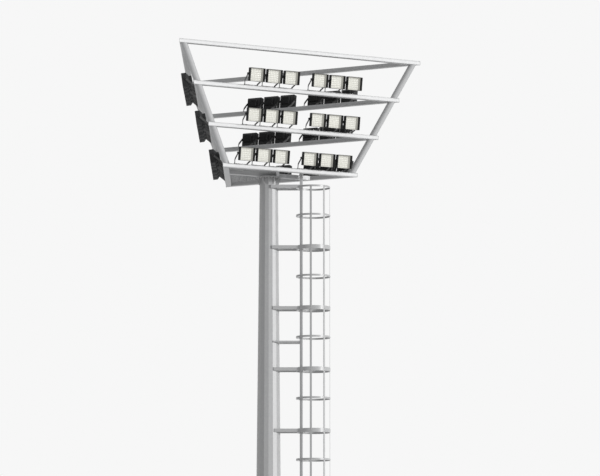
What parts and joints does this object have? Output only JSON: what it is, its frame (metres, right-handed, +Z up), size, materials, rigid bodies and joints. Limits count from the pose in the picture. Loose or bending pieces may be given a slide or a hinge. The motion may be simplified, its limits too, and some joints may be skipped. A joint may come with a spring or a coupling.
{
  "type": "stadium floodlight pylon",
  "caption": "Tapered steel lighting mast on a bolted base, with a caged ladder, a service platform and a three-sided head of tilting floodlights.",
  "frame": {"origin": "centre of the base plate's underside, on the foundation", "axes": "+Z up the mast; +X from the mast to the ladder and the head's right corner; -Y towards the service door"},
  "size_m": [5.002, 5.757, 14.805],
  "materials": {
    "mast_steel": "matt hot-dip galvanised",
    "frame_steel": "matt hot-dip galvanised",
    "grating_steel": "dull galvanised",
    "ladder_steel": "matt hot-dip galvanised",
    "yoke_steel": "satin powder coat",
    "lamp_housing": "satin powder coat",
    "lamp_glass": "lit diffuser glass"
  },
  "bodies": {
    "pylon": {"base_plate": "mast_steel", "base_ribs": "mast_steel", "cage_front_edge": "ladder_steel", "cage_front_panel": "ladder_steel", "cage_ladder_arcs": "ladder_steel", "cage_outer_panel": "ladder_steel", "cage_rear_edge": "ladder_steel", "cage_rear_panel": "ladder_steel", "cross_beam": "frame_steel", "door_frame": "mast_steel", "front_left_post": "frame_steel", "front_rails": "frame_steel", "front_yokes": "yoke_steel", "head_plate": "mast_steel", "head_ribs": "mast_steel", "ladder": "ladder_steel", "ladder_brackets": "ladder_steel", "left_rails": "frame_steel", "left_yokes": "yoke_steel", "mast": "mast_steel", "platform_gratings": "grating_steel", "rear_left_post": "frame_steel", "rear_rails": "frame_steel", "rear_yokes": "yoke_steel", "right_post": "frame_steel", "service_door": "mast_steel", "trimmer_beam": "frame_steel"},
    "front_row_1": {"front_lamps_1": "lamp_housing", "front_glass_1": "lamp_glass"},
    "front_row_2": {"front_lamps_2": "lamp_housing", "front_glass_2": "lamp_glass"},
    "front_row_3": {"front_lamps_3": "lamp_housing", "front_glass_3": "lamp_glass"},
    "rear_row_1": {"rear_lamps_1": "lamp_housing", "rear_glass_1": "lamp_glass"},
    "rear_row_2": {"rear_lamps_2": "lamp_housing", "rear_glass_2": "lamp_glass"},
    "rear_row_3": {"rear_lamps_3": "lamp_housing", "rear_glass_3": "lamp_glass"},
    "left_row_1": {"left_lamps_1": "lamp_housing", "left_glass_1": "lamp_glass"},
    "left_row_2": {"left_lamps_2": "lamp_housing", "left_glass_2": "lamp_glass"},
    "left_row_3": {"left_lamps_3": "lamp_housing", "left_glass_3": "lamp_glass"}
  },
  "joints": [
    {"name": "front_row_1_tilt", "type": "hinge", "parent": "pylon", "child": "front_row_1", "pos_m": [0.5709, -0.9889, 12.62], "axis": [0.866, 0.5, 0], "range_deg": [-8, 52]},
    {"name": "front_row_2_tilt", "type": "hinge", "parent": "pylon", "child": "front_row_2", "pos_m": [0.6476, -1.1996, 13.415], "axis": [0.866, 0.5, 0], "range_deg": [-8, 52]},
    {"name": "front_row_3_tilt", "type": "hinge", "parent": "pylon", "child": "front_row_3", "pos_m": [0.7243, -1.4104, 14.21], "axis": [0.866, 0.5, 0], "range_deg": [-8, 52]},
    {"name": "rear_row_1_tilt", "type": "hinge", "parent": "pylon", "child": "rear_row_1", "pos_m": [0.5709, 0.9889, 12.62], "axis": [-0.866, 0.5, 0], "range_deg": [-8, 52]},
    {"name": "rear_row_2_tilt", "type": "hinge", "parent": "pylon", "child": "rear_row_2", "pos_m": [0.6476, 1.1996, 13.415], "axis": [-0.866, 0.5, 0], "range_deg": [-8, 52]},
    {"name": "rear_row_3_tilt", "type": "hinge", "parent": "pylon", "child": "rear_row_3", "pos_m": [0.7243, 1.4104, 14.21], "axis": [-0.866, 0.5, 0], "range_deg": [-8, 52]},
    {"name": "left_row_1_tilt", "type": "hinge", "parent": "pylon", "child": "left_row_1", "pos_m": [-1.1418, 0, 12.62], "axis": [0, -1, 0], "range_deg": [-8, 52]},
    {"name": "left_row_2_tilt", "type": "hinge", "parent": "pylon", "child": "left_row_2", "pos_m": [-1.4302, 0, 13.415], "axis": [0, -1, 0], "range_deg": [-8, 52]},
    {"name": "left_row_3_tilt", "type": "hinge", "parent": "pylon", "child": "left_row_3", "pos_m": [-1.7185, 0, 14.21], "axis": [0, -1, 0], "range_deg": [-8, 52]}
  ]
}
